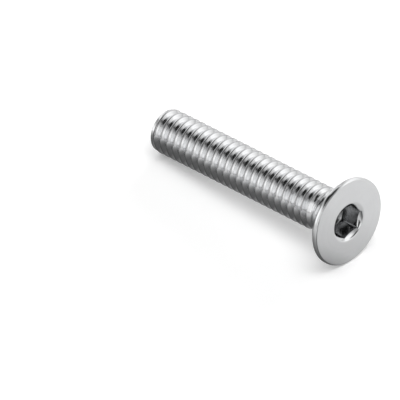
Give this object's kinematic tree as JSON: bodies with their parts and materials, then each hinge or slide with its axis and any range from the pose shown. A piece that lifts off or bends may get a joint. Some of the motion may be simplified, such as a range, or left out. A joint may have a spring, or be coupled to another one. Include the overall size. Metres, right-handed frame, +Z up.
{
  "type": "countersunk socket screw",
  "caption": "Flat-faced countersunk screw with a hexagon socket and a right-hand thread along its shank, lying on its side.",
  "frame": {"origin": "on the surface that the screw lies on, below the middle of its length", "axes": "+X from the end of the shank to the head, +Y across, +Z up; the screw's own axis rises by 5.3 degrees towards the head"},
  "size_m": [0.0168, 0.0058, 0.0059],
  "materials": {
    "bright_steel": "bright, lightly polished stainless steel"
  },
  "bodies": {
    "root": {"screw": "bright_steel"}
  },
  "joints": []
}
